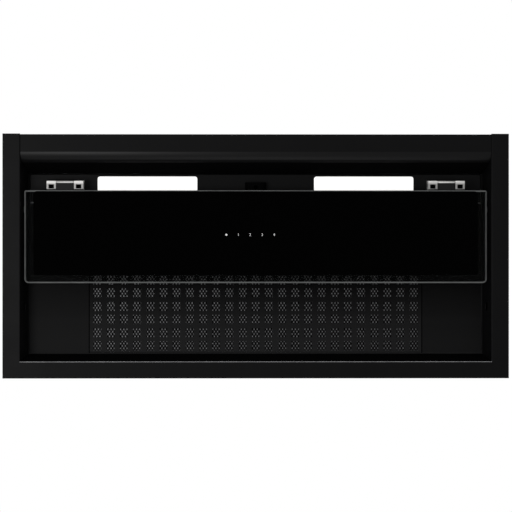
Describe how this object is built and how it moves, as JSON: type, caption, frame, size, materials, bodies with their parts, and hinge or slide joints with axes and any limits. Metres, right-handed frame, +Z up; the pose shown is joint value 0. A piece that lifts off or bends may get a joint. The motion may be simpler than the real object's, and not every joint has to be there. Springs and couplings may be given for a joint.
{
  "type": "built-in range hood",
  "caption": "Built-in cooker hood with a black recess frame, hinged black glass flap, lit lamp bars, grease filter and a blower under a duct collar.",
  "frame": {"origin": "centre of the underside of the visible frame, in the plane of its flange", "axes": "+X to the right seen from below with the front edge at the top, -Y towards the front edge, +Z up towards the duct"},
  "size_m": [0.598, 0.289, 0.279],
  "materials": {
    "black_paint": "fine textured black powder coat on steel sheet",
    "filter_paint": "satin black coat on perforated sheet",
    "filter_mesh": "bright expanded mesh",
    "casing_steel": "galvanised sheet",
    "black_plastic": "fine grain moulded",
    "scroll_plastic": "moulded",
    "impeller_plastic": "moulded",
    "lamp_lens": "opal diffuser, lit",
    "lamp_board": "white solder mask",
    "circuit_board": "green solder mask",
    "hinge_metal": "satin nickel cast metal",
    "fastener_steel": "zinc plated",
    "flap_glass": "clear tempered glass with polished edges",
    "flap_film": "black bonding film behind the glass",
    "backing_steel": "black coated sheet",
    "rubber": "matte",
    "motor_metal": "die cast",
    "bracket_steel": "zinc plated sheet",
    "capacitor_can": "moulded can",
    "control_plastic": "moulded",
    "gland_plastic": "moulded",
    "magnet": "nickel plated"
  },
  "bodies": {
    "hood": {"backdraft_pin": "fastener_steel", "cable_boot": "rubber", "cable_gland": "gland_plastic", "canopy_tub": "black_paint", "capacitor_clip": "bracket_steel", "catch_magnet_left": "magnet", "catch_magnet_right": "magnet", "catch_post_left": "black_plastic", "catch_post_right": "black_plastic", "collar_screws": "fastener_steel", "control_box_base": "control_plastic", "control_box_lid": "control_plastic", "duct_collar": "black_plastic", "filter_back_grille": "filter_paint", "filter_cover": "filter_paint", "filter_mesh": "filter_mesh", "front_trim": "black_paint", "hinge_base_left": "hinge_metal", "hinge_base_right": "hinge_metal", "hinge_pin_left": "fastener_steel", "hinge_pin_right": "fastener_steel", "hinge_screws_left": "fastener_steel", "hinge_screws_right": "fastener_steel", "latch_guide": "black_plastic", "latch_spring": "fastener_steel", "led_board_left": "lamp_board", "led_board_right": "lamp_board", "led_holder_left": "black_plastic", "led_holder_right": "black_plastic", "led_lens_left": "lamp_lens", "led_lens_right": "lamp_lens", "light_channel": "black_paint", "lower_casing": "casing_steel", "motor_body": "motor_metal", "motor_box": "casing_steel", "motor_box_screws": "fastener_steel", "motor_bracket": "bracket_steel", "motor_bushes": "rubber", "motor_capacitor": "capacitor_can", "motor_screws": "fastener_steel", "power_board": "circuit_board", "scroll_left": "scroll_plastic", "scroll_right": "scroll_plastic", "terminal_block": "control_plastic", "trim_nuts": "fastener_steel"},
    "glass_flap": {"flap_glass": "flap_glass", "flap_film": "flap_film", "flap_backing_plate": "backing_steel", "touch_board": "circuit_board", "touch_housing": "black_plastic", "hinge_leaf_left": "hinge_metal", "hinge_leaf_right": "hinge_metal", "leaf_screws_left": "fastener_steel", "leaf_screws_right": "fastener_steel"},
    "impeller": {"impeller": "impeller_plastic", "motor_shaft": "fastener_steel"},
    "backdraft_flap_front": {"backdraft_flap_front": "black_plastic"},
    "backdraft_flap_rear": {"backdraft_flap_rear": "black_plastic"},
    "filter_latch": {"filter_latch": "black_plastic"}
  },
  "joints": [
    {"name": "glass_flap", "type": "hinge", "parent": "hood", "child": "glass_flap", "pos_m": [0, -0.08662, 0.01665], "axis": [-1, 0, 0], "range_deg": [0, 88]},
    {"name": "impeller_spin", "type": "hinge", "parent": "hood", "child": "impeller", "pos_m": [0, -0.03, 0.1475], "axis": [1, 0, 0], "continuous": true},
    {"name": "backdraft_front", "type": "hinge", "parent": "hood", "child": "backdraft_flap_front", "pos_m": [0, 0.02175, 0.255], "axis": [-1, 0, 0], "range_deg": [0, 72]},
    {"name": "backdraft_rear", "type": "hinge", "parent": "hood", "child": "backdraft_flap_rear", "pos_m": [0, 0.02175, 0.255], "axis": [1, 0, 0], "range_deg": [0, 72]},
    {"name": "filter_latch", "type": "slide", "parent": "hood", "child": "filter_latch", "axis": [0, 1, 0], "range_m": [0, 0.006], "stiffness_N_per_m": 300, "springref_m": -0.004, "deforming": ["latch_spring"]}
  ]
}
